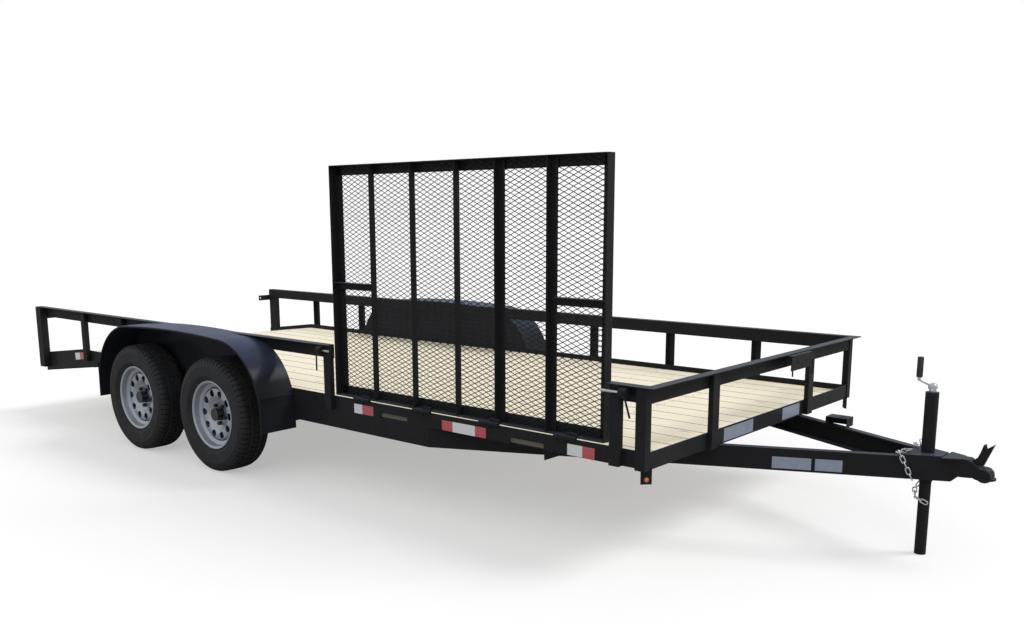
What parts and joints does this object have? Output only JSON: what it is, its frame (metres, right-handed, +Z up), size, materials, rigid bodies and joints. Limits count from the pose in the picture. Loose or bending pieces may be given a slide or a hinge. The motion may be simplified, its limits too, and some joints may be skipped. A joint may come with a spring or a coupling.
{
  "type": "tandem-axle utility trailer",
  "caption": "Open landscape trailer with railed wooden deck, dovetail rear, tandem wheels under smooth fenders, mesh side gate, tongue, coupler and crank jack",
  "frame": {"origin": "on the ground, midway between the rear end of the bed and the coupler's lip, on the centre line", "axes": "+X forward to the coupler, +Y to the left side, +Z up"},
  "size_m": [6.591, 2.59, 1.765],
  "materials": {
    "frame_paint": "satin black powder coat",
    "fender_paint": "glossy black paint",
    "deck_wood": "pale planed pine, untreated look",
    "zinc": "bright zinc plating",
    "grip_plastic": "black moulded grip",
    "tyre": "dark grey rubber",
    "wheel_silver": "silver wheel enamel",
    "hub_black": "black paint",
    "amber_lens": "amber lens",
    "red_lens": "red lens"
  },
  "bodies": {
    "chassis": {"side_rail_right": "frame_paint", "side_rail_left": "frame_paint", "front_rail": "frame_paint", "rear_rail": "frame_paint", "main_channel_right": "frame_paint", "main_channel_left": "frame_paint", "tongue_right": "frame_paint", "tongue_left": "frame_paint", "crossmembers": "frame_paint", "top_rail_right_rear": "frame_paint", "top_rail_right_front": "frame_paint", "top_rail_left": "frame_paint", "top_rail_front": "frame_paint", "posts_right": "frame_paint", "posts_left": "frame_paint", "posts_front": "frame_paint", "rear_post_right": "frame_paint", "rear_post_left": "frame_paint", "deck_boards": "deck_wood", "dovetail_boards": "deck_wood", "coupler": "frame_paint", "coupler_lever": "frame_paint", "jack_plate": "frame_paint", "jack_tube": "frame_paint", "jack_crank": "zinc", "jack_grip": "grip_plastic", "chain_right": "zinc", "chain_left": "zinc", "axles": "frame_paint", "springs_right": "frame_paint", "springs_left": "frame_paint", "hangers_right": "frame_paint", "hangers_left": "frame_paint", "fender_right": "fender_paint", "fender_left": "fender_paint", "gate_hinge_fixed": "frame_paint", "gate_latches": "frame_paint", "spare_carrier": "frame_paint", "tongue_box": "frame_paint", "marker_lamps": "amber_lens", "marker_brackets": "frame_paint", "tail_lamps": "red_lens"},
    "side_gate": {"gate_frame": "frame_paint", "gate_bars": "frame_paint", "gate_mesh_rising": "frame_paint", "gate_mesh_falling": "frame_paint", "gate_hinge_moving": "frame_paint"},
    "jack_inner_leg": {"jack_leg": "frame_paint"},
    "wheel_assembly_rear_right": {"tyre_rear_right": "tyre", "wheel_rear_right": "wheel_silver", "hub_rear_right": "hub_black"},
    "wheel_assembly_rear_left": {"tyre_rear_left": "tyre", "wheel_rear_left": "wheel_silver", "hub_rear_left": "hub_black"},
    "wheel_assembly_front_right": {"tyre_front_right": "tyre", "wheel_front_right": "wheel_silver", "hub_front_right": "hub_black"},
    "wheel_assembly_front_left": {"tyre_front_left": "tyre", "wheel_front_left": "wheel_silver", "hub_front_left": "hub_black"}
  },
  "joints": [
    {"name": "gate_hinge", "type": "hinge", "parent": "chassis", "child": "side_gate", "pos_m": [1.0925, -1.067, 0.546], "axis": [1, 0, 0], "range_deg": [0, 115]},
    {"name": "jack_slide", "type": "slide", "parent": "chassis", "child": "jack_inner_leg", "axis": [0, 0, 1], "range_m": [-0.05, 0.2]},
    {"name": "wheel_spin_rear_right", "type": "hinge", "parent": "chassis", "child": "wheel_assembly_rear_right", "pos_m": [-1.5775, -1.178, 0.343], "axis": [0, 1, 0], "continuous": true},
    {"name": "wheel_spin_rear_left", "type": "hinge", "parent": "chassis", "child": "wheel_assembly_rear_left", "pos_m": [-1.5775, 1.178, 0.343], "axis": [0, 1, 0], "continuous": true},
    {"name": "wheel_spin_front_right", "type": "hinge", "parent": "chassis", "child": "wheel_assembly_front_right", "pos_m": [-0.7135, -1.178, 0.343], "axis": [0, 1, 0], "continuous": true},
    {"name": "wheel_spin_front_left", "type": "hinge", "parent": "chassis", "child": "wheel_assembly_front_left", "pos_m": [-0.7135, 1.178, 0.343], "axis": [0, 1, 0], "continuous": true}
  ]
}
